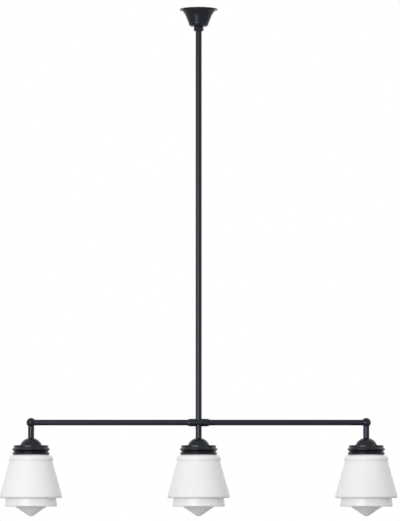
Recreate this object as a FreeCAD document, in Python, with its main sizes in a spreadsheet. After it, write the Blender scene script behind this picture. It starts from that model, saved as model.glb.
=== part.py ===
"""Linear island pendant: one rod, one bar and three opal cone shades in black galleries.

Millimetres. The origin is on the rod's axis in the plane of the ceiling, +Z is up and
+X runs along the bar. Every driving size is a named cell of the sheet. A formula of
sizes is written once, as a Term, and every sketch, feature and placement is bound to it.
"""
import FreeCAD, Part
import math
import os
import Sketcher

V = FreeCAD.Vector

SIZES = [
    # the frame of tubes
    ("lamp_spacing", 460, "from one lamp's axis to the next"),
    ("bar_drop", 1142, "ceiling to the bar's axis"),
    ("rod_radius", 8.5, "long rod and drop stems, outside"),
    ("bar_radius", 8, "horizontal bar, outside"),
    ("tube_wall", 1.5, "wall of every tube"),
    ("elbow_radius", 13, "ball at each end of the bar"),
    ("elbow_seat", 9.5, "tube ends to the ball's centre"),
    ("elbow_spigot", 8, "spigots of the ball inside the tubes"),
    ("elbow_way", 4.5, "way for the cable through the ball"),
    ("cross_radius", 10.6, "sleeve of the cross fitting"),
    ("cross_length", 62, "sleeve of the cross fitting"),
    ("cross_taper", 7, "tapered end of the sleeve"),
    ("cross_seat", 6, "rod and stem ends to the bar's axis"),
    ("bar_gap", 9.5, "bar ends to the rod's axis"),
    # the canopy
    ("rim_radius", 52.4, "canopy rim"),
    ("rim_thick", 2.2, "canopy rim"),
    ("bell_top_radius", 46, "canopy wall under the rim"),
    ("bell_mid_radius", 34.2, "canopy wall where the flare ends"),
    ("bell_mid_depth", 22.3, "where the flare ends"),
    ("bell_flare", 65, "radius of the flare"),
    ("bell_low_radius", 27.5, "canopy wall above the bottom corner"),
    ("bell_round", 8.3, "bottom corner"),
    ("bell_depth", 48, "canopy height"),
    ("bell_wall", 1.2, "canopy sheet"),
    ("slide_gap", 0.3, "clearance of the canopy and collar on the rod"),
    ("collar_top_radius", 12.8, "collar at the canopy"),
    ("collar_low_radius", 14, "collar at its foot"),
    ("collar_length", 12.5, "collar"),
    ("collar_edge", 1, "chamfer of the collar's foot"),
    ("grub_radius", 1.5, "collar screw"),
    # the ceiling strap and the hang-straight joint
    ("strap_length", 80, "ceiling strap"),
    ("strap_width", 20, "ceiling strap"),
    ("strap_thick", 2, "ceiling strap and its ears"),
    ("fixing_spacing", 60, "between the two fixing holes"),
    ("fixing_radius", 2.6, "fixing hole"),
    ("ear_width", 12, "strap ears, along the bar"),
    ("ear_reach", 4.5, "ear beyond its pin"),
    ("pin_radius", 2, "both pins"),
    ("pin_gap", 0.15, "clearance of the block on its pins"),
    ("pin_overhang", 1, "pin beyond its ear"),
    ("upper_pin_depth", 9, "pin along Y"),
    ("lower_pin_depth", 17, "pin along X"),
    ("block_half", 7, "swivel block along X"),
    ("block_side", 7.6, "swivel block along Y"),
    ("block_reach", 4.2, "swivel block beyond its lower pin"),
    ("block_top", 5, "swivel block above its upper pin"),
    ("ear_gap", 0.4, "block to the ears on either side"),
    ("fork_width", 12, "fork ears, along Y"),
    ("head_depth", 22.5, "top of the fork's disc"),
    ("head_thick", 2.5, "fork's disc"),
    ("head_radius", 10, "fork's disc"),
    ("spigot_length", 5, "thread of the head in the rod"),
    ("terminal_depth", 14, "foot of the terminal block"),
    ("terminal_start", 12, "terminal block, near end"),
    ("terminal_length", 15, "terminal block along X"),
    ("terminal_width", 18, "terminal block along Y"),
    ("terminal_wall", 3, "plastic between the wells"),
    # the cables
    ("cable_radius", 2, "each lamp's cable"),
    ("cable_pitch", 4.2, "between cables side by side"),
    ("cable_bend", 8, "bend in the fittings"),
    ("cable_turn", 5, "bends under the terminal block"),
    ("exit_depth", 33.5, "highest cable in the slot"),
    ("exit_pitch", 4.5, "between cables in the slot"),
    ("slot_margin", 3.2, "slot beyond the cables"),
    ("slot_width", 5, "slot in the rod"),
    # cap and gallery of one lamp
    ("gallery_depth", 62.4, "bar's axis to the gallery's top"),
    ("dome_radius", 32, "dome cap, sphere"),
    ("dome_base", 30, "dome cap, foot"),
    ("dome_margin", 0.5, "flat of the dome beyond the stem"),
    ("sheet_wall", 1.2, "dome cap sheet"),
    ("flange_radius", 47.5, "gallery's top flange"),
    ("flange_height", 5.6, "gallery's top flange"),
    ("ridge_radius", 52, "gallery's upper rib"),
    ("low_ridge_radius", 51, "gallery's lower rib"),
    ("groove_radius", 46.8, "groove between the ribs"),
    ("lip_radius", 49, "gallery's lip"),
    ("ridge_pitch", 10.8, "from rib to rib"),
    ("ridge_flat", 1.6, "flat of a rib"),
    ("ridge_first", 11.1, "gallery's top to the upper rib"),
    ("gallery_height", 25.7, "gallery"),
    ("gallery_inner", 42.6, "gallery's bore"),
    ("plate_thick", 3, "gallery's top plate"),
    ("rib_round", 0.7, "rounding of the ribs"),
    # nipple, washer, nut and lampholder
    ("nipple_radius", 5, "threaded nipple"),
    ("nipple_bore", 3.5, "threaded nipple"),
    ("nipple_grip", 8.5, "nipple inside the drop stem"),
    ("nipple_foot", 78, "nipple's lower end below the bar's axis"),
    ("hole_gap", 0.2, "plate holes round the nipple"),
    ("washer_radius", 11, "washer"),
    ("washer_thick", 1.4, "washer"),
    ("nut_radius", 8.1, "nut, across corners"),
    ("nut_thick", 3.6, "nut"),
    ("holder_radius", 20, "lampholder"),
    ("holder_wall", 2, "lampholder cap and skirt"),
    ("holder_boss", 8.5, "boss of the lampholder cap"),
    ("holder_boss_height", 5, "boss of the lampholder cap"),
    ("holder_shoulder", 7, "sloped shoulder of the cap"),
    ("holder_cap_height", 24, "lampholder cap"),
    ("holder_height", 46, "lampholder"),
    ("insert_thick", 8, "ceramic floor with the contacts"),
    ("insert_ledge", 3, "floor up inside the cap"),
    ("shell_bore", 13.6, "threaded shell"),
    ("shell_wall", 0.8, "threaded shell"),
    # springs and gasket
    ("spring_thick", 0.5, "spring strip"),
    ("spring_width", 8, "spring leaf"),
    ("spring_disc", 30, "disc of the spring"),
    ("spring_reach", 34.6, "leaf's outside"),
    ("spring_bump", 3, "bump beyond the leaf"),
    ("spring_bump_drop", 3.5, "bump below the neck's inner edge"),
    ("gasket_thick", 1.3, "neck gasket"),
    ("gasket_gap", 0.3, "glass to gasket"),
    # the opal glass of one lamp
    ("glass_wall", 3.8, "glass"),
    ("neck_radius", 40, "neck, outside"),
    ("glass_gap", 0.4, "gallery's lip to the glass shoulder"),
    ("bead_radius", 61.8, "bead under the gallery"),
    ("bead_round", 10, "rounding of the shoulder"),
    ("bead_tail", 24, "rounding under the bead"),
    ("waist_radius", 60.7, "waist under the bead"),
    ("waist_drop", 18.5, "shoulder to waist"),
    ("cone_radius", 88.2, "foot of the cone before rounding"),
    ("cone_height", 100, "waist to the foot of the cone"),
    ("cone_round", 5, "rounding of the cone's foot"),
    ("band_top_radius", 70.6, "band under the cone, top"),
    ("band_low_radius", 73.6, "band under the cone, foot"),
    ("band_height", 23.1, "band under the cone"),
    ("band_round", 3, "rounding of the band's foot"),
    ("tip_radius", 43.8, "foot of the pointed bottom"),
    ("tip_angle", 56, "half angle of the pointed bottom, degrees"),
    ("tip_round", 12.6, "rounding of the point"),
    # the bulb
    ("bulb_radius", 30, "bulb"),
    ("bulb_neck", 14, "bulb's neck"),
    ("bulb_length", 104, "bulb with its cap"),
    ("bulb_wall", 1, "bulb's glass"),
    ("bulb_cap_radius", 13.1, "screw cap"),
    ("bulb_seat", 1.7, "lampholder's floor to the foot contact"),
    ("bulb_cap_height", 22, "screw cap"),
    ("contact_radius", 5.5, "foot contact"),
    ("contact_height", 2.4, "foot contact"),
]

doc = FreeCAD.newDocument("island_pendant")
sheet = doc.addObject("Spreadsheet::Sheet", "sizes")
for row, (alias, number, note) in enumerate(SIZES, start=1):
    sheet.set(f"A{row}", note)
    sheet.set(f"B{row}", str(number))
    sheet.setAlias(f"B{row}", alias)
doc.recompute()


class Term:
    """A size or a formula of sizes: its number now, and its text for an expression."""

    def __init__(self, text, number):
        self.text = text
        self.number = float(number)

    def __add__(self, other):
        other = term(other)
        return Term(f"({self.text} + {other.text})", self.number + other.number)

    def __sub__(self, other):
        other = term(other)
        return Term(f"({self.text} - {other.text})", self.number - other.number)

    def __mul__(self, other):
        other = term(other)
        return Term(f"({self.text} * {other.text})", self.number * other.number)

    def __truediv__(self, other):
        other = term(other)
        return Term(f"({self.text} / {other.text})", self.number / other.number)

    def __neg__(self):
        return Term(f"(0 - {self.text})", -self.number)

    def __radd__(self, other):
        return term(other) + self

    def __rsub__(self, other):
        return term(other) - self

    def __rmul__(self, other):
        return term(other) * self


def term(thing):
    """A Term from a Term or a plain number."""
    if isinstance(thing, Term):
        return thing
    return Term(str(thing), thing)


def size(alias):
    """The Term of one cell of the sheet."""
    return Term(f"sizes.{alias}", sheet.get(alias))


def root(thing):
    return Term(f"sqrt({thing.text})", math.sqrt(thing.number))


def sine(angle):
    return Term(f"sin({angle.text})", math.sin(math.radians(angle.number)))


def cosine(angle):
    return Term(f"cos({angle.text})", math.cos(math.radians(angle.number)))


def bind(thing, path, formula):
    """Bind one property of an object to a formula of sizes."""
    thing.setExpression(path, term(formula).text)


def place(thing, x=0, y=0, z=0):
    """Put a sub-part at a place given in sizes."""
    bind(thing, "Placement.Base.x", x)
    bind(thing, "Placement.Base.y", y)
    bind(thing, "Placement.Base.z", z)


FINISHED = []


def finish(thing, label):
    """Name a finished sub-part, which is later written to its own file."""
    thing.Label = label
    FINISHED.append((label, thing))
    return thing


# ---------------------------------------------------------------- sketches and features

def new_body(name):
    return doc.addObject("PartDesign::Body", name)


def sketch_on(body, role, name):
    """A sketch on one origin plane of its own body."""
    plane = [item for item in body.Origin.OriginFeatures if item.Role == role][0]
    sketch = body.newObject("Sketcher::SketchObject", name)
    sketch.AttachmentSupport = [(plane, "")]
    sketch.MapMode = "FlatFace"
    return sketch


def pin_point(sketch, geometry, point, x, y):
    """Fix one sketch point at two formulas, or on an axis where a formula is zero."""
    for axis, kind, formula in ((-2, "DistanceX", x), (-1, "DistanceY", y)):
        if not isinstance(formula, Term) and formula == 0:
            sketch.addConstraint(Sketcher.Constraint("PointOnObject", geometry, point, axis))
            continue
        formula = term(formula)
        rule = Sketcher.Constraint(kind, -1, 1, geometry, point, formula.number)
        number = sketch.addConstraint(rule)
        bind(sketch, f"Constraints[{number}]", formula)


def arc_between(start, end, radius):
    """The short arc from start to end: its centre is on the left for a positive radius."""
    chord = end - start
    reach = math.sqrt(max(radius * radius - chord.Length ** 2 / 4, 0.0))
    left = V(-chord.y, chord.x, 0).normalize()
    centre = (start + end) * 0.5 + left * (reach if radius > 0 else -reach)
    first, last = (start, end) if radius > 0 else (end, start)
    angle_1 = math.atan2(first.y - centre.y, first.x - centre.x)
    angle_2 = math.atan2(last.y - centre.y, last.x - centre.x)
    if angle_2 < angle_1:
        angle_2 += 2 * math.pi
    circle = Part.Circle(centre, V(0, 0, 1), abs(radius))
    return Part.ArcOfCircle(circle, angle_1, angle_2)


def closed_outline(sketch, corners):
    """A closed outline through corners (x, y) or (x, y, radius of the arc that leaves it)."""
    spots = [V(term(c[0]).number, term(c[1]).number, 0) for c in corners]
    ends = []
    for index, corner in enumerate(corners):
        start = spots[index]
        end = spots[(index + 1) % len(spots)]
        if len(corner) == 2:
            sketch.addGeometry(Part.LineSegment(start, end))
            ends.append((1, 2))
            continue
        bend = term(corner[2])
        sketch.addGeometry(arc_between(start, end, bend.number))
        ends.append((1, 2) if bend.number > 0 else (2, 1))
        size_of_arc = bend if bend.number > 0 else -bend
        number = sketch.addConstraint(Sketcher.Constraint("Radius", index, size_of_arc.number))
        bind(sketch, f"Constraints[{number}]", size_of_arc)
    for index in range(len(corners)):
        after = (index + 1) % len(corners)
        rule = Sketcher.Constraint("Coincident", index, ends[index][1], after, ends[after][0])
        sketch.addConstraint(rule)
    for index, corner in enumerate(corners):
        pin_point(sketch, index, ends[index][0], corner[0], corner[1])


def turned(name, corners, along="Z"):
    """A body turned about Z, or about X, from corners (radius, place along the axis)."""
    body = new_body(name)
    sketch = sketch_on(body, "XZ_Plane", name + "_profile")
    if along == "X":
        corners = [(c[1], c[0]) + tuple(c[2:]) for c in corners]
    closed_outline(sketch, corners)
    turn = body.newObject("PartDesign::Revolution", name + "_turn")
    turn.Profile = sketch
    turn.ReferenceAxis = (sketch, ["V_Axis" if along == "Z" else "H_Axis"])
    turn.Angle = 360
    doc.recompute()
    return body


def circle_edges(shape, rings):
    """Names of the circular edges at each (radius, height)."""
    names = []
    for radius, height in rings:
        radius = term(radius).number
        height = term(height).number
        for index, edge in enumerate(shape.Edges, start=1):
            if edge.Degenerated or not isinstance(edge.Curve, Part.Circle):
                continue
            at_height = abs(edge.Curve.Center.z - height) < 0.01
            if at_height and abs(edge.Curve.Radius - radius) < 0.01:
                names.append(f"Edge{index}")
    return names


def soften(body, rings, radius):
    """Round the circular edges of a turned body."""
    base = body.Tip
    names = circle_edges(base.Shape, rings)
    if len(names) < len(rings):
        raise RuntimeError(f"{body.Name}: {len(names)} of {len(rings)} edges found")
    fillet = body.newObject("PartDesign::Fillet", body.Name + "_round")
    fillet.Base = (base, names)
    bind(fillet, "Radius", radius)
    doc.recompute()
    return body


def rectangle(sketch, x_1, x_2, y_1, y_2):
    closed_outline(sketch, [(x_1, y_1), (x_2, y_1), (x_2, y_2), (x_1, y_2)])


def slab(name, x_1, x_2, y_1, y_2, z_low, thick):
    """A padded plate or block with its foot at z_low."""
    body = new_body(name)
    sketch = sketch_on(body, "XY_Plane", name + "_outline")
    rectangle(sketch, x_1, x_2, y_1, y_2)
    bind(sketch, "AttachmentOffset.Base.z", z_low)
    pad = body.newObject("PartDesign::Pad", name + "_pad")
    pad.Profile = sketch
    bind(pad, "Length", thick)
    doc.recompute()
    return body


TURN_TO = {"X": FreeCAD.Rotation(V(0, 1, 0), 90), "Y": FreeCAD.Rotation(V(1, 0, 0), -90),
           "Z": FreeCAD.Rotation()}


def drill(axis, radius, length, x=0, y=0, z=0):
    """A plain cylinder from a point along +X, +Y or +Z, used as a bore or a pin."""
    tool = doc.addObject("Part::Cylinder", "bore")
    tool.Placement = FreeCAD.Placement(V(0, 0, 0), TURN_TO[axis])
    bind(tool, "Radius", radius)
    bind(tool, "Height", length)
    place(tool, x, y, z)
    return tool


def box(length, width, height, x, y, z):
    tool = doc.addObject("Part::Box", "box")
    bind(tool, "Length", length)
    bind(tool, "Width", width)
    bind(tool, "Height", height)
    place(tool, x, y, z)
    return tool


def fused(name, things):
    union = doc.addObject("Part::MultiFuse", name)
    union.Shapes = things
    doc.recompute()
    return union


def cut(name, base, tools):
    """Base less its tools, checked to have lost something to them."""
    tool = tools[0] if len(tools) == 1 else fused(name + "_tools", tools)
    result = doc.addObject("Part::Cut", name)
    result.Base = base
    result.Tool = tool
    doc.recompute()
    if result.Shape.Volume > base.Shape.Volume - 1e-3:
        raise RuntimeError(f"{name}: nothing was cut")
    return result


# ---------------------------------------------------------------------- derived formulas

bar_axis = -size("bar_drop")
rod_radius = size("rod_radius")
bar_radius = size("bar_radius")
tube_wall = size("tube_wall")
rod_bore = rod_radius - tube_wall
bar_bore = bar_radius - tube_wall
rod_top = -(size("head_depth") + size("head_thick"))
slide_radius = rod_radius + size("slide_gap")
canopy_floor = -size("bell_depth")
neck_inner = size("neck_radius") - size("glass_wall")
plate_under = size("gallery_depth") + size("plate_thick")
spring_under = plate_under + size("spring_thick")
washer_under = spring_under + size("washer_thick")
nut_under = washer_under + size("nut_thick")
neck_top = plate_under + size("gasket_thick") + size("gasket_gap")
holder_cap_foot = nut_under + size("holder_cap_height")
insert_foot = holder_cap_foot - size("insert_ledge")
insert_top = insert_foot - size("insert_thick")
dome_centre_rise = root(size("dome_radius") * size("dome_radius") - size("dome_base") * size("dome_base"))
dome_centre = size("gallery_depth") + dome_centre_rise
dome_flat_radius = rod_radius + size("dome_margin")
dome_flat_rise = root(size("dome_radius") * size("dome_radius") - dome_flat_radius * dome_flat_radius)
stem_foot = dome_centre - dome_flat_rise
nipple_hole = size("nipple_radius") + size("hole_gap")
shoulder_depth = size("gallery_depth") + size("gallery_height") + size("glass_gap")
waist_depth = shoulder_depth + size("waist_drop")
cone_depth = waist_depth + size("cone_height")
band_depth = cone_depth + size("band_height")
contact_depth = insert_foot + size("bulb_seat")
bulb_cap_depth = contact_depth + size("contact_height")
bulb_foot = contact_depth + size("bulb_length")


# --------------------------------------------------------------------------- the ceiling

def ceiling_strap():
    """Flat strap with two fixing holes, a cable hole and two ears for the upper pin."""
    length = size("strap_length")
    width = size("strap_width")
    thick = size("strap_thick")
    plate = box(length, width, thick, -length / 2, -width / 2, -thick)
    ear_height = size("upper_pin_depth") + size("ear_reach")
    ear_start = size("block_side") + size("ear_gap")
    ears = []
    for y in (ear_start, -ear_start - thick):
        ears.append(box(size("ear_width"), thick, ear_height, -size("ear_width") / 2, y, -ear_height))
    blank = fused("strap_blank", [plate] + ears)
    bores = []
    for side in (-1, 1):
        x = side * size("fixing_spacing") / 2
        bores.append(drill("Z", size("fixing_radius"), thick * 3, x, 0, -thick * 2))
    pin_bore = drill("Y", size("pin_radius"), width * 2, 0, -width, -size("upper_pin_depth"))
    bores.append(pin_bore)
    finish(cut("ceiling_strap", blank, bores), "ceiling_strap")


def pins():
    """Upper pin along Y in the strap's ears, lower pin along X in the fork's ears."""
    half = size("block_side") + size("ear_gap") + size("strap_thick") + size("pin_overhang")
    upper = drill("Y", size("pin_radius"), half * 2, 0, -half, -size("upper_pin_depth"))
    finish(upper, "upper_pin")
    half = size("block_half") + size("ear_gap") + size("strap_thick") + size("pin_overhang")
    lower = drill("X", size("pin_radius"), half * 2, -half, 0, -size("lower_pin_depth"))
    finish(lower, "lower_pin")


def terminal_block():
    """Plastic block under the strap: three screw wells, three cable holes from below."""
    start = size("terminal_start")
    width = size("terminal_width")
    height = size("terminal_depth") - size("strap_thick")
    blank = box(size("terminal_length"), width, height, start, -width / 2, -size("terminal_depth"))
    reach = height / 2
    tools = []
    for index in range(3):
        x = riser_x(index)
        tools.append(drill("Z", size("cable_radius"), reach, x, 0, -size("terminal_depth")))
        y = -width / 2
        z = -size("terminal_depth") + height * 0.7
        tools.append(drill("Y", size("grub_radius"), size("terminal_wall"), x, y, z))
    finish(cut("terminal_block", blank, tools), "terminal_block")


def swivel_block():
    """Block that turns on both pins, so that the rod hangs straight."""
    top = -size("upper_pin_depth") + size("block_top")
    foot = -size("lower_pin_depth") - size("block_reach")
    half = size("block_half")
    side = size("block_side")
    blank = box(half * 2, side * 2, top - foot, -half, -side, foot)
    bore = size("pin_radius") + size("pin_gap")
    upper = drill("Y", bore, side * 4, 0, -side * 2, -size("upper_pin_depth"))
    lower = drill("X", bore, half * 4, -half * 2, 0, -size("lower_pin_depth"))
    finish(cut("swivel_block", blank, [upper, lower]), "swivel_block")


def stem_head():
    """Fork on the lower pin, with a disc on the rod's end and a spigot in its bore."""
    disc_top = -size("head_depth")
    disc = drill("Z", size("head_radius"), size("head_thick"), 0, 0, rod_top)
    spigot = drill("Z", rod_bore, size("spigot_length"), 0, 0, rod_top - size("spigot_length"))
    start = size("block_half") + size("ear_gap")
    thick = size("strap_thick")
    width = size("fork_width")
    rise = size("head_depth") - size("lower_pin_depth") + size("ear_reach")
    ears = []
    for x in (start, -start - thick):
        ears.append(box(thick, width, rise, x, -width / 2, disc_top))
    blank = fused("head_blank", [disc, spigot] + ears)
    reach = start + thick * 2
    bore = drill("X", size("pin_radius"), reach * 2, -reach, 0, -size("lower_pin_depth"))
    finish(cut("stem_head", blank, [bore]), "stem_head")


# ---------------------------------------------------------------------------- the canopy

def canopy():
    """Spun bell with a flat rim, its collar and the collar's screw."""
    wall = size("bell_wall")
    low_depth = size("bell_depth") - size("bell_round")
    foot_radius = size("bell_low_radius") - size("bell_round")
    top_depth = size("rim_thick") + wall
    bell = turned("canopy_bell", [
        (slide_radius, canopy_floor),
        (foot_radius, canopy_floor, size("bell_round")),
        (size("bell_low_radius"), -low_depth),
        (size("bell_mid_radius"), -size("bell_mid_depth"), -size("bell_flare")),
        (size("bell_top_radius"), -top_depth),
        (size("bell_top_radius"), -size("rim_thick")),
        (size("rim_radius"), -size("rim_thick")),
        (size("rim_radius"), 0),
        (size("bell_top_radius") - wall, 0),
        (size("bell_top_radius") - wall, -top_depth, size("bell_flare") + wall),
        (size("bell_mid_radius") - wall, -size("bell_mid_depth")),
        (size("bell_low_radius") - wall, -low_depth, wall - size("bell_round")),
        (foot_radius, wall + canopy_floor),
        (slide_radius, wall + canopy_floor),
    ])
    finish(bell, "canopy_bell")
    foot = canopy_floor - size("collar_length")
    edge = size("collar_edge")
    collar = turned("collar", [
        (slide_radius, foot),
        (size("collar_low_radius") - edge, foot),
        (size("collar_low_radius"), foot + edge),
        (size("collar_top_radius"), canopy_floor),
        (slide_radius, canopy_floor),
    ])
    screw_z = canopy_floor - size("collar_length") / 2
    thread = drill("Y", size("grub_radius"), size("collar_low_radius"), 0, slide_radius / 2, screw_z)
    finish(cut("canopy_collar", collar, [thread]), "canopy_collar")
    length = size("collar_top_radius") - slide_radius
    screw = drill("Y", size("grub_radius"), length, 0, slide_radius, screw_z)
    finish(screw, "collar_screw")


# ----------------------------------------------------------------------- rod, bar, cross

def exit_z(index):
    """Height at which cable 0, 1 or 2 leaves the rod through its slot."""
    return -(size("exit_depth") + size("exit_pitch") * index)


def riser_x(index):
    """Where cable 0, 1 or 2 goes up into the terminal block."""
    return size("terminal_start") + size("terminal_wall") + size("cable_pitch") * index


def stem_rod():
    """Long tube from the fork to the cross, with the cable slot inside the canopy."""
    foot = bar_axis + size("cross_seat")
    tube = turned("rod_tube", [
        (rod_bore, rod_top),
        (rod_bore, foot),
        (rod_radius, foot),
        (rod_radius, rod_top),
    ])
    low = exit_z(2) - size("slot_margin")
    height = exit_z(0) + size("slot_margin") - low
    width = size("slot_width")
    slot = box(rod_radius * 2, width, height, 0, -width / 2, low)
    finish(cut("stem_rod", tube, [slot]), "stem_rod")


def cross_fitting():
    """Sleeve over the bar's middle with tapered ends, bored for rod, stem and bars."""
    half = size("cross_length") / 2
    shoulder = half - size("cross_taper")
    sleeve = turned("cross_sleeve", [
        (bar_radius, -half),
        (bar_radius + tube_wall / 4, -half),
        (size("cross_radius"), -shoulder),
        (size("cross_radius"), shoulder),
        (bar_radius + tube_wall / 4, half),
        (bar_radius, half),
    ], along="X")
    bore = drill("Z", rod_radius, size("cross_radius") * 4, 0, 0, -size("cross_radius") * 2)
    cross = cut("cross_fitting", sleeve, [bore])
    place(cross, 0, 0, bar_axis)
    finish(cross, "cross_fitting")


def bar_tubes():
    """Left and right halves of the bar, from inside the cross to inside the elbows."""
    for name, side in (("left", -1), ("right", 1)):
        near = side * size("bar_gap")
        far = side * (size("lamp_spacing") - size("elbow_seat"))
        tube = turned(f"bar_{name}", [
            (bar_bore, near),
            (bar_bore, far),
            (bar_radius, far),
            (bar_radius, near),
        ], along="X")
        place(tube, 0, 0, bar_axis)
        finish(tube, f"bar_{name}")


def elbows():
    """Ball elbows: flats and spigots for bar and stem, and the cable's way between."""
    ball = size("elbow_radius")
    seat = size("elbow_seat")
    spigot = size("elbow_spigot")
    way = size("elbow_way")
    for name, side in (("left", -1), ("right", 1)):
        sphere = doc.addObject("Part::Sphere", f"ball_{name}")
        bind(sphere, "Radius", ball)
        bar_flat = drill("X", bar_radius, ball, -seat - ball if side > 0 else seat)
        stem_flat = drill("Z", rod_radius, ball, 0, 0, -seat - ball)
        core = cut(f"core_{name}", sphere, [bar_flat, stem_flat])
        bar_spigot = drill("X", bar_bore, spigot, -seat - spigot if side > 0 else seat)
        stem_spigot = drill("Z", rod_bore, spigot, 0, 0, -seat - spigot)
        blank = fused(f"blank_{name}", [core, bar_spigot, stem_spigot])
        reach = seat + spigot + way
        bar_way = drill("X", way, reach, -seat - spigot if side > 0 else -way)
        stem_way = drill("Z", way, reach, 0, 0, -seat - spigot)
        elbow = cut(f"elbow_{name}", blank, [bar_way, stem_way])
        place(elbow, side * size("lamp_spacing"), 0, bar_axis)
        finish(elbow, f"elbow_{name}")


# ---------------------------------------------------------------------------- the cables

def cable(name, stations, bends):
    """One whole cable along level and upright runs, joined by tangent bends."""
    spots = [V(term(x).number, term(z).number, 0) for x, z in stations]
    body = new_body(name)
    spine = sketch_on(body, "XZ_Plane", name + "_route")
    count = len(stations)
    cuts = []
    for index in range(1, count - 1):
        into = (spots[index] - spots[index - 1]).normalize()
        out = (spots[index + 1] - spots[index]).normalize()
        bend = bends[index - 1].number
        cuts.append((spots[index] - into * bend, spots[index] + out * bend, into, out, bend))
    starts = [spots[0]] + [c[1] for c in cuts]
    stops = [c[0] for c in cuts] + [spots[-1]]
    for start, stop in zip(starts, stops):
        spine.addGeometry(Part.LineSegment(start, stop))
    for index, (first, last, into, out, bend) in enumerate(cuts):
        left = into.x * out.y - into.y * out.x > 0
        spine.addGeometry(arc_between(first, last, bend if left else -bend))
        number = spine.addConstraint(Sketcher.Constraint("Radius", count - 1 + index, bend))
        bind(spine, f"Constraints[{number}]", bends[index])
        arc = count - 1 + index
        ends = (1, 2) if left else (2, 1)
        spine.addConstraint(Sketcher.Constraint("Tangent", index, 2, arc, ends[0]))
        spine.addConstraint(Sketcher.Constraint("Tangent", arc, ends[1], index + 1, 1))
    for index in range(count - 1):
        upright = abs(spots[index].x - spots[index + 1].x) < 1e-6
        spine.addConstraint(Sketcher.Constraint("Vertical" if upright else "Horizontal", index))
        kind = "DistanceX" if upright else "DistanceY"
        formula = term(stations[index][0] if upright else stations[index][1])
        if abs(formula.number) < 1e-9:
            rule = Sketcher.Constraint("PointOnObject", index, 1, -2 if upright else -1)
            spine.addConstraint(rule)
            continue
        number = spine.addConstraint(Sketcher.Constraint(kind, -1, 1, index, 1, formula.number))
        bind(spine, f"Constraints[{number}]", formula)
    for index, point, formula in ((0, 1, stations[0][1]), (count - 2, 2, stations[-1][1])):
        formula = term(formula)
        rule = Sketcher.Constraint("DistanceY", -1, 1, index, point, formula.number)
        number = spine.addConstraint(rule)
        bind(spine, f"Constraints[{number}]", formula)
    section = sketch_on(body, "XY_Plane", name + "_section")
    bind(section, "AttachmentOffset.Base.z", stations[0][1])
    section.addGeometry(Part.Circle(V(spots[0].x, 0, 0), V(0, 0, 1), size("cable_radius").number))
    number = section.addConstraint(Sketcher.Constraint("Radius", 0, size("cable_radius").number))
    bind(section, f"Constraints[{number}]", size("cable_radius"))
    pin_point(section, 0, 3, stations[0][0], 0)
    pipe = body.newObject("PartDesign::AdditivePipe", name + "_pipe")
    pipe.Profile = section
    pipe.Spine = (spine, [f"Edge{n + 1}" for n in range(len(spine.Geometry))])
    doc.recompute()
    length = sum(edge.Length for edge in spine.Shape.Edges)
    print(name, "length", round(length, 1), "least bend", min(b.number for b in bends))
    expected = math.pi * size("cable_radius").number ** 2 * length
    if abs(body.Shape.Volume / expected - 1) > 0.01:
        raise RuntimeError(f"{name}: volume {body.Shape.Volume} is not {expected}")
    finish(body, name)


def cables():
    """One cable for each lamp, side by side in the rod, then along the bar."""
    top = -size("terminal_depth") + (size("terminal_depth") - size("strap_thick")) / 2
    foot = bar_axis - insert_top
    for index, (name, side) in enumerate((("left", -1), ("centre", 0), ("right", 1))):
        rod_x = side * size("cable_pitch") if side else 0
        lamp_x = side * size("lamp_spacing") if side else 0
        level = exit_z(index)
        stations = [(riser_x(index), top), (riser_x(index), level), (rod_x, level)]
        bends = [size("cable_turn"), size("cable_turn")]
        if side:
            stations += [(rod_x, bar_axis), (lamp_x, bar_axis)]
            bends += [size("cable_bend"), size("cable_bend")]
        stations.append((lamp_x, foot))
        cable(f"cable_{name}", stations, bends)


# -------------------------------------------------------------------------- one lamp set

def at_lamp(thing, side, label):
    place(thing, side * size("lamp_spacing"), 0, bar_axis)
    finish(thing, label)


def drop_stem(name, side):
    """Short tube under the bar, with a threaded foot for the nipple."""
    top = size("elbow_seat") if side else size("cross_seat")
    foot = stem_foot
    thread_top = foot - size("nipple_grip")
    stem = turned(f"drop_stem_{name}", [
        (rod_bore, -top),
        (rod_bore, -thread_top),
        (size("nipple_radius"), -thread_top),
        (size("nipple_radius"), -foot),
        (rod_radius, -foot),
        (rod_radius, -top),
    ])
    at_lamp(stem, side, f"drop_stem_{name}")


def nipple(name, side):
    top = stem_foot - size("nipple_grip")
    piece = turned(f"nipple_{name}", [
        (size("nipple_bore"), -top),
        (size("nipple_bore"), -size("nipple_foot")),
        (size("nipple_radius"), -size("nipple_foot")),
        (size("nipple_radius"), -top),
    ])
    at_lamp(piece, side, f"lamp_nipple_{name}")


def dome_cap(name, side):
    """Spun dome between the stem and the gallery."""
    wall = size("sheet_wall")
    outer = size("dome_radius")
    inner = outer - wall
    foot_inner = root(inner * inner - dome_centre_rise * dome_centre_rise)
    flat_inner = root(inner * inner - (dome_flat_rise - wall) * (dome_flat_rise - wall))
    dome = turned(f"dome_{name}", [
        (nipple_hole, -stem_foot),
        (nipple_hole, -stem_foot - wall),
        (flat_inner, -stem_foot - wall, -inner),
        (foot_inner, -size("gallery_depth")),
        (size("dome_base"), -size("gallery_depth"), outer),
        (dome_flat_radius, -stem_foot),
    ])
    at_lamp(dome, side, f"dome_cap_{name}")


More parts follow.
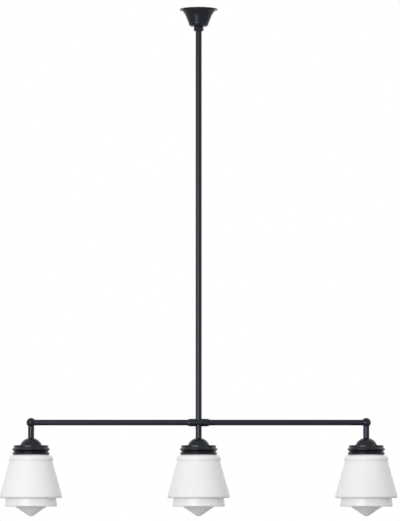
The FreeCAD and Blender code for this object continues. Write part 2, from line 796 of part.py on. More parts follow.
def gallery(name, side):
    """Turned cup that holds the glass: a flange, two ribs with a groove, and a lip."""
    top = size("gallery_depth")
    foot = top + size("gallery_height")
    first = top + size("ridge_first")
    second = first + size("ridge_pitch")
    half = size("ridge_flat") / 2
    rib = size("ridge_radius")
    low_rib = size("low_ridge_radius")
    flange_foot = top + size("flange_height")
    cup = turned(f"cup_{name}", [
        (nipple_hole, -plate_under),
        (size("gallery_inner"), -plate_under),
        (size("gallery_inner"), -foot),
        (size("lip_radius"), -foot),
        (low_rib, -second - half),
        (low_rib, -second + half),
        (size("groove_radius"), -(first + second) / 2),
        (rib, -first - half),
        (rib, -first + half),
        (size("flange_radius"), -flange_foot),
        (size("flange_radius"), -top),
        (nipple_hole, -top),
    ])
    soften(cup, [
        (low_rib, -second - half),
        (low_rib, -second + half),
        (size("groove_radius"), -(first + second) / 2),
        (rib, -first - half),
        (rib, -first + half),
        (size("flange_radius"), -flange_foot),
        (size("flange_radius"), -top),
    ], size("rib_round"))
    at_lamp(cup, side, f"gallery_{name}")


def washer_and_nut(name, side):
    washer = turned(f"washer_{name}", [
        (nipple_hole, -spring_under),
        (nipple_hole, -washer_under),
        (size("washer_radius"), -washer_under),
        (size("washer_radius"), -spring_under),
    ])
    at_lamp(washer, side, f"washer_{name}")
    blank = doc.addObject("Part::Prism", f"hexagon_{name}")
    blank.Polygon = 6
    bind(blank, "Circumradius", size("nut_radius"))
    bind(blank, "Height", size("nut_thick"))
    thread = drill("Z", size("nipple_radius"), size("nut_thick") * 3, 0, 0, -size("nut_thick"))
    nut = cut(f"nut_{name}", blank, [thread])
    place(nut, side * size("lamp_spacing"), 0, bar_axis - nut_under)
    finish(nut, f"lock_nut_{name}")


def spring(name, side):
    """Sprung clamp under the plate: a disc and three leaves that hold the glass neck."""
    thick = size("spring_thick")
    body = turned(f"spring_{name}", [
        (nipple_hole, -plate_under),
        (nipple_hole, -spring_under),
        (size("spring_disc"), -spring_under),
        (size("spring_disc"), -plate_under),
    ])
    out = size("spring_reach")
    edge = shoulder_depth + size("glass_wall")
    peak = edge + size("spring_bump_drop")
    bump = out + size("spring_bump")
    tail = peak + size("spring_bump") * 2
    leaf = sketch_on(body, "XZ_Plane", f"leaf_{name}")
    closed_outline(leaf, [
        (size("spring_disc") - thick, -plate_under),
        (size("spring_disc") - thick, -spring_under),
        (out - thick, -spring_under - thick),
        (out - thick, -edge),
        (bump - thick, -peak),
        (out - thick * 2, -tail),
        (out - thick, -tail),
        (bump, -peak),
        (out, -edge),
        (out, -spring_under),
        (size("spring_disc"), -plate_under),
    ])
    pad = body.newObject("PartDesign::Pad", f"leaf_pad_{name}")
    pad.Profile = leaf
    bind(pad, "Length", size("spring_width"))
    pad.Midplane = True
    doc.recompute()
    ring = body.newObject("PartDesign::PolarPattern", f"leaves_{name}")
    ring.Originals = [pad]
    axis = [item for item in body.Origin.OriginFeatures if item.Role == "Z_Axis"][0]
    ring.Axis = (axis, [""])
    ring.Angle = 360
    ring.Occurrences = 3
    body.Tip = ring
    doc.recompute()
    at_lamp(body, side, f"neck_spring_{name}")


def gasket(name, side):
    """Soft ring between the plate and the top of the neck."""
    foot = plate_under + size("gasket_thick")
    ring = turned(f"ring_{name}", [
        (neck_inner, -plate_under),
        (neck_inner, -foot),
        (size("neck_radius"), -foot),
        (size("neck_radius"), -plate_under),
    ])
    at_lamp(ring, side, f"neck_gasket_{name}")


def lampholder(name, side):
    """Screw lampholder: cap on the nipple, ceramic floor, threaded shell and skirt."""
    top = nut_under
    wall = size("holder_wall")
    outer = size("holder_radius")
    shoulder = top + size("holder_boss_height")
    full = shoulder + size("holder_shoulder")
    cap_foot = holder_cap_foot
    foot = top + size("holder_height")
    cap = turned(f"holder_cap_{name}", [
        (size("nipple_radius"), -top),
        (size("nipple_radius"), -shoulder - wall),
        (size("holder_boss"), -shoulder - wall),
        (outer - wall, -full - wall / 2),
        (outer - wall, -cap_foot),
        (outer, -cap_foot),
        (outer, -full),
        (size("holder_boss"), -shoulder),
        (size("holder_boss"), -top),
    ])
    at_lamp(cap, side, f"holder_cap_{name}")
    floor_top = insert_top
    floor = insert_foot
    shell = size("shell_bore") + size("shell_wall")
    insert = turned(f"insert_{name}", [
        (0, -floor_top),
        (0, -floor),
        (size("shell_bore"), -floor),
        (size("shell_bore"), -foot + wall),
        (shell, -foot + wall),
        (shell, -floor),
        (outer - wall, -floor),
        (outer - wall, -floor_top),
    ])
    at_lamp(insert, side, f"holder_insert_{name}")
    skirt = turned(f"skirt_{name}", [
        (shell, -cap_foot),
        (shell, -foot + wall),
        (size("shell_bore"), -foot + wall),
        (size("shell_bore"), -foot),
        (outer - wall, -foot),
        (outer, -foot + wall),
        (outer, -cap_foot),
    ])
    at_lamp(skirt, side, f"holder_skirt_{name}")


def shade(name, side):
    """Blown opal glass: neck, shoulder bead, cone, stepped band and pointed bottom."""
    wall = size("glass_wall")
    slope_run = size("cone_radius") - size("waist_radius")
    slope_drop = size("cone_height")
    slope = slope_run / slope_drop
    slant = root(slope * slope + 1)
    angle = size("tip_angle")
    spread = sine(angle) / cosine(angle)
    tip_centre = band_depth + size("tip_radius") / spread - size("tip_round") / sine(angle)
    tip_inner = size("tip_round") - wall
    floor_radius = (size("tip_radius") / spread - wall / sine(angle) + wall) * spread
    bead_line = shoulder_depth + size("bead_round")
    base_inner = size("cone_radius") - slant * wall - slope * wall
    glass = turned(f"glass_{name}", [
        (neck_inner, -neck_top),
        (neck_inner, -shoulder_depth - wall),
        (size("bead_radius") - size("bead_round"), -shoulder_depth - wall,
         wall - size("bead_round")),
        (size("bead_radius") - wall, -bead_line),
        (size("waist_radius") - slant * wall, -waist_depth),
        (base_inner, -cone_depth + wall),
        (size("band_top_radius") - wall, -cone_depth + wall),
        (size("band_low_radius") - wall, -band_depth + wall),
        (floor_radius, -band_depth + wall),
        (cosine(angle) * tip_inner, -tip_centre - sine(angle) * tip_inner, -tip_inner),
        (0, -tip_centre - tip_inner),
        (0, -tip_centre - size("tip_round"), size("tip_round")),
        (cosine(angle) * size("tip_round"), -tip_centre - sine(angle) * size("tip_round")),
        (size("tip_radius"), -band_depth),
        (size("band_low_radius"), -band_depth),
        (size("band_top_radius"), -cone_depth),
        (size("cone_radius"), -cone_depth),
        (size("waist_radius"), -waist_depth, size("bead_tail")),
        (size("bead_radius"), -bead_line, size("bead_round")),
        (size("bead_radius") - size("bead_round"), -shoulder_depth),
        (size("neck_radius"), -shoulder_depth),
        (size("neck_radius"), -neck_top),
    ])
    soften(glass, [(size("cone_radius"), -cone_depth)], size("cone_round"))
    soften(glass, [(size("band_low_radius"), -band_depth)], size("band_round"))
    at_lamp(glass, side, f"shade_{name}")


def bulb(name, side):
    """Screw bulb: glass envelope, screw cap and foot contact."""
    radius = size("bulb_radius")
    centre = bulb_foot - radius
    cap_foot = bulb_cap_depth + size("bulb_cap_height")
    # the neck leaves the sphere along a tangent through the neck's rim
    rise = centre - cap_foot
    span = root(rise * rise + size("bulb_neck") * size("bulb_neck"))
    tangent = root(span * span - radius * radius)
    lean_sine = (rise * radius - size("bulb_neck") * tangent) / (span * span)
    lean_cosine = (size("bulb_neck") * radius + rise * tangent) / (span * span)
    touch_radius = radius * lean_cosine
    touch_depth = centre - radius * lean_sine
    wall = size("bulb_wall")
    inner = radius - wall
    glass = turned(f"bulb_glass_{name}", [
        (0, -cap_foot),
        (0, -cap_foot - wall),
        (size("bulb_neck") - wall * 2, -cap_foot - wall),
        (inner * lean_cosine, -(centre - inner * lean_sine), -inner),
        (inner, -centre, -inner),
        (0, -centre - inner),
        (0, -centre - radius, radius),
        (radius, -centre, radius),
        (touch_radius, -touch_depth),
        (size("bulb_neck"), -cap_foot),
    ])
    at_lamp(glass, side, f"bulb_glass_{name}")
    top = bulb_cap_depth
    contact = top - size("contact_height")
    cap = turned(f"bulb_cap_{name}", [
        (0, -contact),
        (0, -cap_foot),
        (size("bulb_cap_radius"), -cap_foot),
        (size("bulb_cap_radius"), -top - size("contact_height") * 2),
        (size("contact_radius") * 1.5, -top),
        (size("contact_radius"), -top),
        (size("contact_radius") * 0.8, -contact),
    ])
    at_lamp(cap, side, f"bulb_cap_{name}")


LAMPS = [("left", -1), ("centre", 0), ("right", 1)]

ceiling_strap()
pins()
terminal_block()
swivel_block()
stem_head()
canopy()
stem_rod()
cross_fitting()
bar_tubes()
elbows()
cables()
for lamp_name, lamp_side in LAMPS:
    drop_stem(lamp_name, lamp_side)
    nipple(lamp_name, lamp_side)
    dome_cap(lamp_name, lamp_side)
    gallery(lamp_name, lamp_side)
    spring(lamp_name, lamp_side)
    washer_and_nut(lamp_name, lamp_side)
    gasket(lamp_name, lamp_side)
    lampholder(lamp_name, lamp_side)
    shade(lamp_name, lamp_side)
    bulb(lamp_name, lamp_side)
doc.recompute()

for item in doc.Objects:
    if "Invalid" in item.State or "Error" in item.State:
        raise RuntimeError(f"{item.Label} failed: {item.State}")
for label, item in FINISHED:
    if item.Shape.isNull() or not item.Shape.isValid():
        raise RuntimeError(f"{label} has no valid shape")

os.makedirs("parts", exist_ok=True)
for label, item in FINISHED:
    item.Shape.exportStep(f"parts/{label}.step")
print(len(FINISHED), "sub-parts written")
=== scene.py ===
import bpy
import math
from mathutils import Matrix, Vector


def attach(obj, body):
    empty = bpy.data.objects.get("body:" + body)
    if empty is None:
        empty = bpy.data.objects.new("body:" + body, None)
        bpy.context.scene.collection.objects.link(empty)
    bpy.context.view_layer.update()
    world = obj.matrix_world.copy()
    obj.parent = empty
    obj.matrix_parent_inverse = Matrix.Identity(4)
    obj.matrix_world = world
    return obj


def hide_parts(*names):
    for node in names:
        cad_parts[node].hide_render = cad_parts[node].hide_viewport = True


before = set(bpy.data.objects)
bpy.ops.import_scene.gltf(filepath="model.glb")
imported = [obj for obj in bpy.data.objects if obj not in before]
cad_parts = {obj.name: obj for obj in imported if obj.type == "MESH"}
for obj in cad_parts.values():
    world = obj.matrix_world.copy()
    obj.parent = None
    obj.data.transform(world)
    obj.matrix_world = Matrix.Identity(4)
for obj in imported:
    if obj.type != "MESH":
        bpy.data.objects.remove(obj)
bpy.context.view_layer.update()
bpy.ops.object.select_all(action="DESELECT")

LAMP_SPACING = 0.46
LAMPS = (("left", -LAMP_SPACING), ("centre", 0.0), ("right", LAMP_SPACING))
BAR_HEIGHT = -1.142


# ------------------------------------------------------------------ shared surface effects

def new_group(name, inputs, outputs):
    """An effect group with number sockets and the object's own coordinates."""
    group = bpy.data.node_groups.new(name, "ShaderNodeTree")
    for socket, value in inputs.items():
        entry = group.interface.new_socket(socket, in_out="INPUT", socket_type="NodeSocketFloat")
        entry.default_value = value
    for socket in outputs:
        group.interface.new_socket(socket, in_out="OUTPUT", socket_type="NodeSocketFloat")
    kinds = ("NodeGroupInput", "NodeGroupOutput", "ShaderNodeTexCoord")
    return group, *(group.nodes.new(kind) for kind in kinds)


def add_noise(group, vector, size, detail, target):
    """A noise mask at the size that a socket gives."""
    noise = group.nodes.new("ShaderNodeTexNoise")
    noise.inputs["Detail"].default_value = detail
    group.links.new(vector, noise.inputs["Vector"])
    group.links.new(size, noise.inputs["Scale"])
    group.links.new(noise.outputs["Fac"], target)


def grain_group():
    """Fine even grain of a powder coat or a cast skin, with broader cloudy patches."""
    group, entry, leave, place = new_group(
        "grain", {"Size": 1500.0, "Patch Size": 25.0}, ("Grain", "Patches"))
    spot = place.outputs["Object"]
    add_noise(group, spot, entry.outputs["Size"], 3.0, leave.inputs["Grain"])
    add_noise(group, spot, entry.outputs["Patch Size"], 4.0, leave.inputs["Patches"])
    return group


def turned_group():
    """Fine rings left by turning or spinning, level all round."""
    group, entry, leave, place = new_group("turned_rings", {"Ring Size": 300.0}, ("Rings",))
    flat = group.nodes.new("ShaderNodeMapping")
    flat.inputs["Scale"].default_value = (0.02, 0.02, 1.0)
    group.links.new(place.outputs["Object"], flat.inputs["Vector"])
    add_noise(group, flat.outputs["Vector"], entry.outputs["Ring Size"], 3.0,
              leave.inputs["Rings"])
    return group


GRAIN = grain_group()
RINGS = turned_group()
MASK_LOW, MASK_HIGH = 0.3, 0.7


def effect(material, group, **values):
    """One shared effect placed in a material with its own values."""
    node = material.node_tree.nodes.new("ShaderNodeGroup")
    node.node_tree = group
    for name, value in values.items():
        node.inputs[name.replace("_", " ")].default_value = value
    return node


def new_material(name, **sockets):
    material = bpy.data.materials.new(name)
    material.use_nodes = True
    shader = material.node_tree.nodes["Principled BSDF"]
    for key, value in sockets.items():
        shader.inputs[key.replace("_", " ")].default_value = value
    return material, shader


def clouded(material, shader, patches, dark, light, smooth, rough):
    """Let the colour and the roughness drift in soft patches."""
    nodes, links = material.node_tree.nodes, material.node_tree.links
    ramp = nodes.new("ShaderNodeValToRGB")
    dark_end, light_end = ramp.color_ramp.elements
    dark_end.position, dark_end.color = MASK_LOW, (*dark, 1)
    light_end.position, light_end.color = MASK_HIGH, (*light, 1)
    links.new(patches, ramp.inputs["Fac"])
    links.new(ramp.outputs["Color"], shader.inputs["Base Color"])
    reach = nodes.new("ShaderNodeMapRange")
    ends = {"From Min": MASK_LOW, "From Max": MASK_HIGH, "To Min": smooth, "To Max": rough}
    for socket, value in ends.items():
        reach.inputs[socket].default_value = value
    links.new(patches, reach.inputs["Value"])
    links.new(reach.outputs["Result"], shader.inputs["Roughness"])


def relief(material, shader, source, strength, depth):
    """Raise the surface a little by a mask."""
    nodes, links = material.node_tree.nodes, material.node_tree.links
    bump = nodes.new("ShaderNodeBump")
    bump.inputs["Strength"].default_value = strength
    bump.inputs["Distance"].default_value = depth
    links.new(source, bump.inputs["Height"])
    links.new(bump.outputs["Normal"], shader.inputs["Normal"])


# ------------------------------------------------------------------------------- finishes
# Each finish is given by its darker and lighter colour and its least and greatest roughness.

def black_coat(name, *patches, rings=False):
    """Satin blue-black powder coat over steel."""
    material, shader = new_material(name, Metallic=0.0, Specular_IOR_Level=0.35,
                                    Specular_Tint=(0.78, 0.84, 1.0, 1))
    grain = effect(material, GRAIN, Size=1400.0, Patch_Size=30.0)
    clouded(material, shader, grain.outputs["Patches"], *patches)
    if rings:
        turned = effect(material, RINGS, Ring_Size=1600.0)
        relief(material, shader, turned.outputs["Rings"], 0.12, 0.0002)
    else:
        relief(material, shader, grain.outputs["Grain"], 0.012, 0.0002)
    return material


def steel(name, *patches):
    """Bare or plated metal with light and dark clouds."""
    material, shader = new_material(name, Metallic=1.0)
    grain = effect(material, GRAIN, Size=2500.0, Patch_Size=60.0)
    clouded(material, shader, grain.outputs["Patches"], *patches)
    relief(material, shader, grain.outputs["Grain"], 0.08, 0.0001)
    return material


def moulded(name, *patches, size=2000.0, strength=0.1):
    """Moulded plastic, rubber, dark glass or pressed ceramic."""
    material, shader = new_material(name)
    grain = effect(material, GRAIN, Size=size, Patch_Size=45.0)
    clouded(material, shader, grain.outputs["Patches"], *patches)
    relief(material, shader, grain.outputs["Grain"], strength, 0.0002)
    return material


def opal(name, *patches):
    """White blown opal glass with a polished, slightly uneven skin."""
    material, shader = new_material(
        name, IOR=1.5, Subsurface_Weight=0.25, Subsurface_Radius=(0.012, 0.012, 0.012),
        Subsurface_Scale=0.5, Specular_IOR_Level=0.3, Coat_Weight=0.06, Coat_Roughness=0.12)
    skin = effect(material, GRAIN, Size=22.0, Patch_Size=9.0)
    clouded(material, shader, skin.outputs["Patches"], *patches)
    relief(material, shader, skin.outputs["Grain"], 0.06, 0.004)
    return material


COAT = black_coat("black_coat", (0.0030, 0.0036, 0.0060), (0.0045, 0.0052, 0.0085), 0.22, 0.27)
TURNED_COAT = black_coat("black_coat_turned", (0.0030, 0.0032, 0.0040),
                         (0.0042, 0.0045, 0.0055), 0.25, 0.31, rings=True)
OPAL = opal("opal_glass", (0.86, 0.86, 0.86), (0.89, 0.89, 0.89), 0.20, 0.28)
FROST = opal("frosted_bulb_glass", (0.82, 0.82, 0.80), (0.86, 0.86, 0.84), 0.35, 0.45)
ZINC = steel("zinc_plate", (0.26, 0.27, 0.29), (0.34, 0.35, 0.36), 0.42, 0.55)
DARK_STEEL = steel("blackened_steel", (0.05, 0.05, 0.055), (0.09, 0.09, 0.095), 0.3, 0.45)
SPRING = steel("spring_steel", (0.30, 0.31, 0.33), (0.40, 0.40, 0.42), 0.28, 0.38)
BRASS = steel("brass", (0.42, 0.29, 0.11), (0.52, 0.37, 0.16), 0.32, 0.45)
CAP_METAL = steel("aluminium_cap", (0.42, 0.42, 0.44), (0.52, 0.52, 0.53), 0.32, 0.42)
BAKELITE = moulded("black_phenolic", (0.012, 0.011, 0.010), (0.022, 0.020, 0.018), 0.25, 0.4)
WHITE_PLASTIC = moulded("white_nylon", (0.76, 0.76, 0.74), (0.82, 0.82, 0.80), 0.4, 0.55)
CERAMIC = moulded("steatite", (0.74, 0.73, 0.69), (0.82, 0.81, 0.77), 0.45, 0.65,
                  size=900.0, strength=0.25)
SILICONE = moulded("silicone_ring", (0.70, 0.70, 0.68), (0.78, 0.78, 0.76), 0.5, 0.65)
DARK_GLASS = moulded("dark_glass_ring", (0.010, 0.010, 0.012), (0.018, 0.018, 0.020),
                     0.12, 0.2)
SHEATH = moulded("cable_sheath", (0.72, 0.72, 0.71), (0.80, 0.80, 0.78), 0.45, 0.6)

# Tubes, fittings and the canopy aren't listed: they take the black coat.
FINISH_OF = {
    "ceiling_strap": ZINC, "upper_pin": ZINC, "lower_pin": ZINC, "swivel_block": ZINC,
    "stem_head": ZINC, "terminal_block": WHITE_PLASTIC, "collar_screw": DARK_STEEL,
    "gallery": TURNED_COAT, "dome_cap": TURNED_COAT, "lamp_nipple": BRASS, "washer": ZINC,
    "lock_nut": BRASS, "neck_spring": SPRING, "neck_gasket": SILICONE, "holder_cap": BAKELITE,
    "holder_skirt": BAKELITE, "holder_insert": CERAMIC, "cable": SHEATH, "shade": OPAL,
    "bulb_glass": FROST, "bulb_cap": CAP_METAL,
}


def dress_nodes():
    """Give every carried solid its finish, by its name with or without the lamp's side."""
    for node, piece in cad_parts.items():
        kind = node if node in FINISH_OF else node.rsplit("_", 1)[0]
        piece.data.materials.clear()
        piece.data.materials.append(FINISH_OF.get(kind, COAT))


dress_nodes()


# ------------------------------------------------------------------------ shaping by hand

ARC_STEPS = 6
MERGE_GAP = 0.000005
LYING = (math.pi / 2, 0, 0)


def nothing_selected():
    if bpy.context.mode != "OBJECT":
        bpy.ops.object.mode_set(mode="OBJECT")
    bpy.ops.object.select_all(action="DESELECT")


def only(piece):
    nothing_selected()
    piece.select_set(True)
    bpy.context.view_layer.objects.active = piece


def edit_all(piece):
    """Open one piece with its whole mesh selected."""
    only(piece)
    bpy.ops.object.mode_set(mode="EDIT")
    bpy.ops.mesh.select_all(action="SELECT")


def place_applied():
    """Put the active object's place, turn and scale in its mesh."""
    bpy.ops.object.transform_apply(location=True, rotation=True, scale=True)
    return bpy.context.object


def arc_at(spots, index, radius):
    """Points round one corner of an outline. A corner on the axis gets half its arc."""
    here = spots[index]
    on_axis = here.x == 0
    if on_axis:
        before = spots[index - 1] if index else spots[index + 1]
        after = Vector((-before.x, before.y))
    else:
        before, after = spots[index - 1], spots[index + 1]
    one, two = (before - here).normalized(), (after - here).normalized()
    half = one.angle(two) / 2
    middle = here + (one + two).normalized() * (radius / math.sin(half))
    first = here + one * (radius / math.tan(half)) - middle
    last = here + two * (radius / math.tan(half)) - middle
    start = math.atan2(first.y, first.x)
    sweep = (math.atan2(last.y, last.x) - start + math.pi) % math.tau - math.pi
    if on_axis:
        sweep /= 2
    arc = []
    for step in range(ARC_STEPS + 1):
        angle = start + sweep * step / ARC_STEPS
        arc.append(middle + radius * Vector((math.cos(angle), math.sin(angle))))
    if on_axis:
        arc[-1].x = 0
        if index == 0:
            arc.reverse()
    return arc


def rounded(corners):
    """An outline in metres from corners in millimetres.

    A corner is its radius from the axis, its depth under the bar and, if any, its rounding.
    """
    spots = [Vector((corner[0], -corner[1])) for corner in corners]
    line = []
    for index, corner in enumerate(corners):
        line.extend(arc_at(spots, index, corner[2]) if len(corner) == 3 else [spots[index]])
    return [(spot.x / 1000, BAR_HEIGHT + spot.y / 1000) for spot in line]


def traced(name, line):
    """A line of edges drawn corner by corner beside the middle axis."""
    nothing_selected()
    bpy.ops.mesh.primitive_plane_add(size=0.001, location=(line[0][0], 0, line[0][1]))
    piece = bpy.context.object
    piece.name = name
    edit_all(piece)
    bpy.ops.mesh.merge(type="CENTER")
    for (radius, height), (next_radius, next_height) in zip(line, line[1:]):
        step = (next_radius - radius, 0, next_height - height)
        bpy.ops.mesh.extrude_vertices_move(TRANSFORM_OT_translate={"value": step})
    bpy.ops.object.mode_set(mode="OBJECT")
    return place_applied()


def closed_up(piece, angle=30):
    """Merge seams and poles, point the faces outwards and smooth all but the sharp edges."""
    edit_all(piece)
    bpy.ops.mesh.remove_doubles(threshold=MERGE_GAP)
    bpy.ops.mesh.normals_make_consistent(inside=False)
    bpy.ops.object.mode_set(mode="OBJECT")
    bpy.ops.object.shade_smooth_by_angle(angle=math.radians(angle))


def spun(name, line, steps):
    """A solid of revolution about the middle axis."""
    piece = traced(name, line)
    edit_all(piece)
    bpy.ops.mesh.spin(steps=steps, angle=math.tau, center=(0, 0, 0), axis=(0, 0, 1))
    bpy.ops.object.mode_set(mode="OBJECT")
    closed_up(piece)
    return piece


def cylinder(sides, radius, length, place):
    """A cylinder that lies from front to back."""
    nothing_selected()
    bpy.ops.mesh.primitive_cylinder_add(vertices=sides, radius=radius, depth=length,
                                        location=place, rotation=LYING)
    return place_applied()


def block(place, size):
    nothing_selected()
    bpy.ops.mesh.primitive_cube_add(size=1, location=place)
    bpy.context.object.scale = size
    return place_applied()


def cut_away(piece, tool):
    """Take the tool's shape out of the piece."""
    only(piece)
    bpy.ops.object.modifier_add(type="BOOLEAN")
    cutter = piece.modifiers[-1]
    cutter.operation = "DIFFERENCE"
    cutter.solver = "EXACT"
    cutter.object = tool
    bpy.ops.object.modifier_apply(modifier=cutter.name)
    only(tool)
    bpy.ops.object.delete()


def copied(piece, name, x):
    """A copy with its own mesh, moved along the bar in that mesh."""
    only(piece)
    bpy.ops.object.duplicate(linked=False)
    other = bpy.context.object
    other.name = name
    edit_all(other)
    bpy.ops.transform.translate(value=(x, 0, 0))
    bpy.ops.object.mode_set(mode="OBJECT")
    return other


def at_lamps(name, centre):
    """The centre lamp's piece and its copies, one lamp after another."""
    for side, x in LAMPS:
        yield side, centre if x == 0 else copied(centre, f"{name}_{side}", x)


def finished(piece, finish, body, slot, *nodes):
    """Give a piece its finish and body, and hide the nodes that it stands for. The slot is not
    used.
    """
    if not piece.data.materials:
        piece.data.materials.append(finish)
    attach(piece, body)
    if nodes:
        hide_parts(*nodes)


# ------------------------------------------------------------------------------ new pieces

SHADE_WALL = 3.8
NECK_RADIUS = 40.0
SHADE_OUTLINE = (
    # outside: point, band, foot of the cone
    (0, 259.6, 12.6), (43.8, 230.1, 2.5), (72.9, 230.1, 3), (69.2, 207.0, 1.5),
    (87.6, 207.0, 5),
    # waist, bead, shoulder, neck
    (59.2, 106.5, 6), (60.8, 101.0, 3), (60.8, 95.0, 9), (51.5, 88.2, 19),
    (NECK_RADIUS, 87.6, 1.5), (NECK_RADIUS, 67.0, 1.2),
    # inside, from the neck down
    (NECK_RADIUS - SHADE_WALL, 67.0, 1.2), (NECK_RADIUS - SHADE_WALL, 91.8, 1.5),
    (50.0, 92.4, 14), (56.8, 97.4, 5), (55.2, 108.0, 6), (82.6, 203.2, 3), (65.4, 203.2, 1.5),
    (69.0, 226.3, 2), (42.6, 226.3, 2.5), (0, 255.06, 8.8),
)
CAP_OUTLINE = (
    # top and sleeve
    (0, 117.9), (13.0, 117.9, 0.3), (13.1, 116.6, 0.5), (12.5, 115.4, 0.4), (12.0, 115.2),
    (12.0, 101.6, 0.5), (11.4, 100.6, 0.4),
    # glass ring and contact
    (8.4, 96.2, 0.4), (6.0, 96.0), (5.5, 96.0), (5.2, 94.6, 0.8), (0, 93.7),
)
GLASS_RING_SPAN = (0.0958, 0.1004)
CONTACT_RADIUS = 0.0055
THREAD_PITCH = 3.63
THREAD_START = 115.9
THREAD_TURNS = 4
THREAD_ROOT = 11.8
THREAD_RIDGE = (
    (THREAD_ROOT, 0), (12.35, 0.5), (12.9, 1.2), (13.1, 1.82), (12.9, 2.44), (12.35, 3.13),
    (THREAD_ROOT, THREAD_PITCH), (THREAD_ROOT, 0),
)


def blown_shades():
    """Smooth opal shades: pointed bottom, stepped band, cone, shoulder bead and neck."""
    centre = spun("opal_shade_centre", rounded(SHADE_OUTLINE), 144)
    for side, piece in at_lamps("opal_shade", centre):
        finished(piece, OPAL, "glass_" + side, "opal_glass", "shade_" + side)


def cap_body():
    """Sleeve of a bulb's cap, with its ring of dark glass and its foot contact."""
    body = spun("cap_body", rounded(CAP_OUTLINE), 64)
    body.data.materials.append(CAP_METAL)
    body.data.materials.append(DARK_GLASS)
    for face in body.data.polygons:
        depth = BAR_HEIGHT - face.center.z
        reach = math.hypot(face.center.x, face.center.y)
        if GLASS_RING_SPAN[0] < depth < GLASS_RING_SPAN[1] and reach > CONTACT_RADIUS:
            face.material_index = 1
    return body


def cap_thread():
    """The rolled thread round the sleeve, as one solid with closed ends."""
    ridge = rounded([(radius, THREAD_START - rise) for radius, rise in THREAD_RIDGE])
    thread = traced("cap_thread", ridge)
    closed_up(thread, 60)
    bpy.ops.object.modifier_add(type="SCREW")
    screw = thread.modifiers[-1]
    screw.screw_offset = THREAD_PITCH / 1000
    screw.iterations = THREAD_TURNS
    screw.steps = screw.render_steps = 48
    bpy.ops.object.modifier_apply(modifier=screw.name)
    edit_all(thread)
    bpy.ops.mesh.remove_doubles(threshold=MERGE_GAP)
    bpy.ops.mesh.fill_holes(sides=12)
    bpy.ops.object.mode_set(mode="OBJECT")
    closed_up(thread, 50)
    thread.data.materials.append(CAP_METAL)
    return thread


def screw_caps():
    """Bulb caps: the sleeve and the thread as one piece."""
    body = cap_body()
    only(cap_thread())
    body.select_set(True)
    bpy.context.view_layer.objects.active = body
    bpy.ops.object.join()
    body.name = "threaded_cap_centre"
    for side, piece in at_lamps("threaded_cap", body):
        finished(piece, CAP_METAL, "bulb_" + side, "bulb_cap", "bulb_cap_" + side)


def grub_screw():
    """Set screw of the collar, with a hexagon socket, at the back."""
    height = -0.05425
    piece = cylinder(32, 0.00145, 0.0036, (0, 0.0106, height))
    piece.name = "socket_grub_screw"
    cut_away(piece, cylinder(6, 0.00085, 0.003, (0, 0.0124, height)))
    closed_up(piece)
    finished(piece, DARK_STEEL, "canopy", "dark_steel", "collar_screw")


def terminal_screws():
    """Slotted brass screws in the terminal block's wells."""
    x, height, pitch = 0.0150, -0.0056, 0.0042
    first = cylinder(32, 0.00125, 0.0018, (x, -0.0074, height))
    first.name = "terminal_screw_1"
    cut_away(first, block((x, -0.0084, height), (0.0004, 0.0012, 0.004)))
    closed_up(first)
    for index in range(3):
        name = f"terminal_screw_{index + 1}"
        piece = copied(first, name, pitch * index) if index else first
        finished(piece, BRASS, "ceiling", "brass")


blown_shades()
screw_caps()
grub_screw()
terminal_screws()


# ----------------------------------------------------------------- floor, lights and camera

SOFT_LIGHT = 0.75
FLOOR_HEIGHT = -1.95
FLOOR_SIZE = 30.0
FLOOR_COLOUR = 0.86
FLOOR_BOUNCE = 0.34
SOFTBOXES = (
    # name, place, aim, width, height, watts
    ("key_light", (-4.0, -9.0, -0.47), (0, 0, -0.6), 7.2, 2.2, 345),
    ("low_light", (-1.0, -2.2, -1.8), (0, 0, -0.1), 1.3, 0.6, 8),
    ("right_light", (3.0, -2.8, -1.4), (0, 0, -1.3), 0.9, 0.9, 5),
)
CAMERA_EYE = (0.0037, -10.6, -1.381)
CAMERA_AIM = (0.0037, 0.0, -0.6961)
CAMERA_LENS = 266.6


def seen(nodes, links):
    """One for rays that show the background: straight, mirrored or through glass."""
    path = nodes.new("ShaderNodeLightPath")
    ways = path.outputs["Is Camera Ray"]
    for kind in ("Is Glossy Ray", "Is Transmission Ray"):
        either = nodes.new("ShaderNodeMath")
        either.operation = "MAXIMUM"
        links.new(ways, either.inputs[0])
        links.new(path.outputs[kind], either.inputs[1])
        ways = either.outputs[0]
    return ways


def mixed(nodes, links, mask, plain, special):
    """The plain shader where the mask is nought and the special one where it is one."""
    mix = nodes.new("ShaderNodeMixShader")
    for socket, source in enumerate((mask, plain, special)):
        links.new(source, mix.inputs[socket])
    return mix.outputs["Shader"]


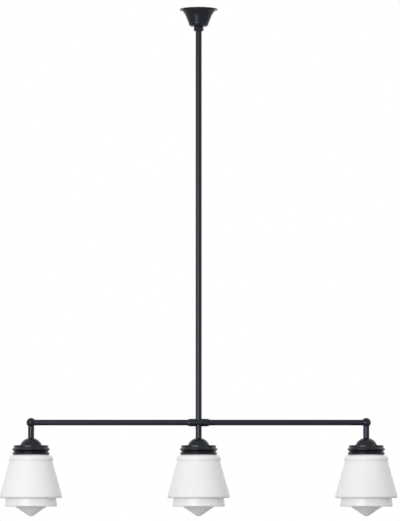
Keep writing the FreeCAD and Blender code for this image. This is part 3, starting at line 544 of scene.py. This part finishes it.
def floor():
    """A pale floor that throws back less light than it shows, and is clear from below."""
    bpy.ops.mesh.primitive_plane_add(size=FLOOR_SIZE, location=(0, 0, FLOOR_HEIGHT))
    piece = bpy.context.object
    piece.name = "floor"
    material, shader = new_material("pale_floor", Roughness=0.8)
    nodes, links = material.node_tree.nodes, material.node_tree.links
    pale = nodes.new("ShaderNodeMix")
    pale.data_type = "RGBA"
    pale.inputs["A"].default_value = (FLOOR_BOUNCE, FLOOR_BOUNCE, FLOOR_BOUNCE, 1)
    pale.inputs["B"].default_value = (FLOOR_COLOUR, FLOOR_COLOUR, FLOOR_COLOUR, 1)
    links.new(seen(nodes, links), pale.inputs["Factor"])
    links.new(pale.outputs["Result"], shader.inputs["Base Color"])
    below = nodes.new("ShaderNodeNewGeometry").outputs["Backfacing"]
    clear = nodes.new("ShaderNodeBsdfTransparent").outputs["BSDF"]
    surface = mixed(nodes, links, below, shader.outputs["BSDF"], clear)
    links.new(surface, nodes["Material Output"].inputs["Surface"])
    piece.data.materials.append(material)


def glow(nodes, strength):
    """Plain white light of one strength from the world."""
    light = nodes.new("ShaderNodeBackground")
    light.inputs["Color"].default_value = (1, 1, 1, 1)
    light.inputs["Strength"].default_value = strength
    return light.outputs["Background"]


def studio():
    """White background all round, and soft light on the object."""
    world = bpy.data.worlds.new("studio")
    bpy.context.scene.world = world
    world.use_nodes = True
    nodes, links = world.node_tree.nodes, world.node_tree.links
    nodes.clear()
    surface = mixed(nodes, links, seen(nodes, links), glow(nodes, SOFT_LIGHT), glow(nodes, 1.0))
    leave = nodes.new("ShaderNodeOutputWorld")
    links.new(surface, leave.inputs["Surface"])


def turned_to(place, aim):
    """The turn of a lamp or camera at one point that looks at another."""
    return (Vector(aim) - Vector(place)).to_track_quat("-Z", "Y").to_euler()


def softbox(name, place, aim, width, height, watts):
    bpy.ops.object.light_add(type="AREA", location=place)
    lamp = bpy.context.object
    lamp.name = name
    lamp.data.shape = "RECTANGLE"
    lamp.data.size = width
    lamp.data.size_y = height
    lamp.data.energy = watts
    lamp.rotation_euler = turned_to(place, aim)


def camera():
    """Level with the shades' feet and about ten and a half metres away."""
    bpy.ops.object.camera_add(location=CAMERA_EYE)
    view = bpy.context.object
    view.rotation_euler = turned_to(CAMERA_EYE, CAMERA_AIM)
    view.data.sensor_width = 36.0
    view.data.lens = CAMERA_LENS
    view.data.clip_end = 100.0
    bpy.context.scene.camera = view


floor()
studio()
for row in SOFTBOXES:
    softbox(*row)
camera()
bpy.context.scene.view_settings.view_transform = "Standard"

bpy.context.view_layer.update()
